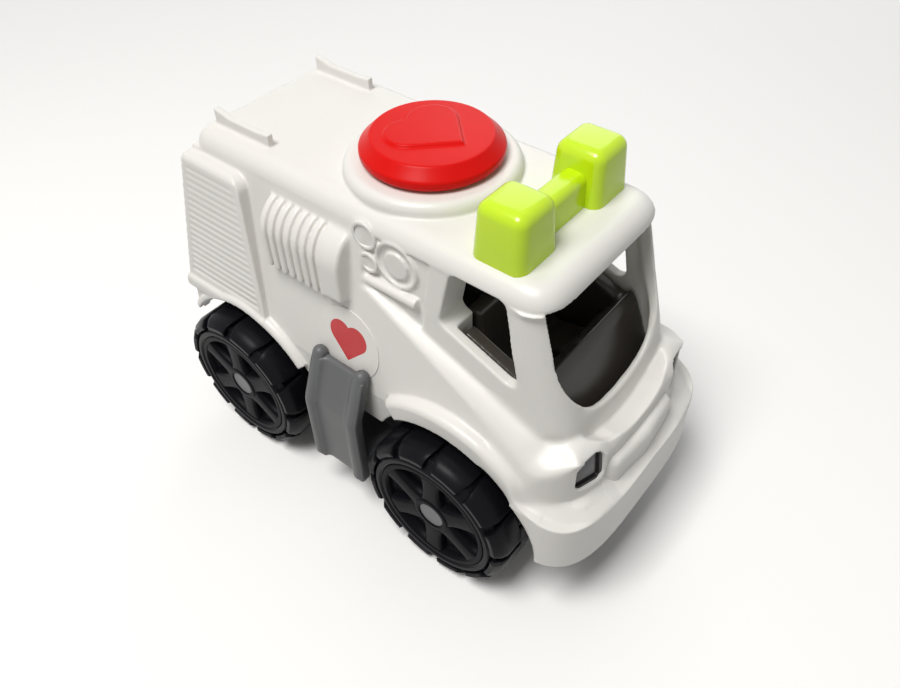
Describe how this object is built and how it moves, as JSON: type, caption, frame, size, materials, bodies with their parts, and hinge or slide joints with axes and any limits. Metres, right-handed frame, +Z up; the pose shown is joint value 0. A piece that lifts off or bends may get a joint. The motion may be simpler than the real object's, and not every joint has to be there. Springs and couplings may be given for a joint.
{
  "type": "toy ambulance",
  "caption": "Chunky toy ambulance with an open cab, shuttered flanks, free-spinning wheels, a clip-in roof light bar and a round turning cap on the roof.",
  "frame": {"origin": "on the ground under the middle of the bounding box", "axes": "+X towards the front of the vehicle, +Y to its left, +Z up"},
  "size_m": [0.15, 0.0868, 0.1183],
  "materials": {
    "shell_white": "satin moulded plastic",
    "chassis_grey": "matt moulded plastic",
    "interior_dark": "dark moulded plastic",
    "bar_lime": "glossy moulded plastic",
    "cap_red": "satin moulded plastic",
    "axle_grey": "matt plastic rod",
    "tyre_black": "semi-matt black",
    "hub_black": "satin black plastic",
    "sticker_face": "printed paper film",
    "screw_steel": "plated steel"
  },
  "bodies": {
    "vehicle": {"body_shell": "shell_white", "chassis": "chassis_grey", "cab_interior": "interior_dark", "light_bar": "bar_lime", "front_axle": "axle_grey", "rear_axle": "axle_grey", "sticker_right": "sticker_face", "sticker_left": "sticker_face", "chassis_screws": "screw_steel"},
    "cap": {"roof_cap": "cap_red"},
    "wheel_front_right": {"tyre_front_right": "tyre_black", "hub_front_right": "hub_black"},
    "wheel_front_left": {"tyre_front_left": "tyre_black", "hub_front_left": "hub_black"},
    "wheel_rear_right": {"tyre_rear_right": "tyre_black", "hub_rear_right": "hub_black"},
    "wheel_rear_left": {"tyre_rear_left": "tyre_black", "hub_rear_left": "hub_black"}
  },
  "joints": [
    {"name": "wheel_front_right_spin", "type": "hinge", "parent": "vehicle", "child": "wheel_front_right", "pos_m": [0.0322, 0, 0.0246], "axis": [0, 1, 0], "continuous": true},
    {"name": "wheel_front_left_spin", "type": "hinge", "parent": "vehicle", "child": "wheel_front_left", "pos_m": [0.0322, 0, 0.0246], "axis": [0, 1, 0], "continuous": true},
    {"name": "wheel_rear_right_spin", "type": "hinge", "parent": "vehicle", "child": "wheel_rear_right", "pos_m": [-0.0473, 0, 0.0246], "axis": [0, 1, 0], "continuous": true},
    {"name": "wheel_rear_left_spin", "type": "hinge", "parent": "vehicle", "child": "wheel_rear_left", "pos_m": [-0.0473, 0, 0.0246], "axis": [0, 1, 0], "continuous": true},
    {"name": "cap_turn", "type": "hinge", "parent": "vehicle", "child": "cap", "pos_m": [0.0012, 0, 0.108], "axis": [0, 0, 1], "continuous": true}
  ]
}
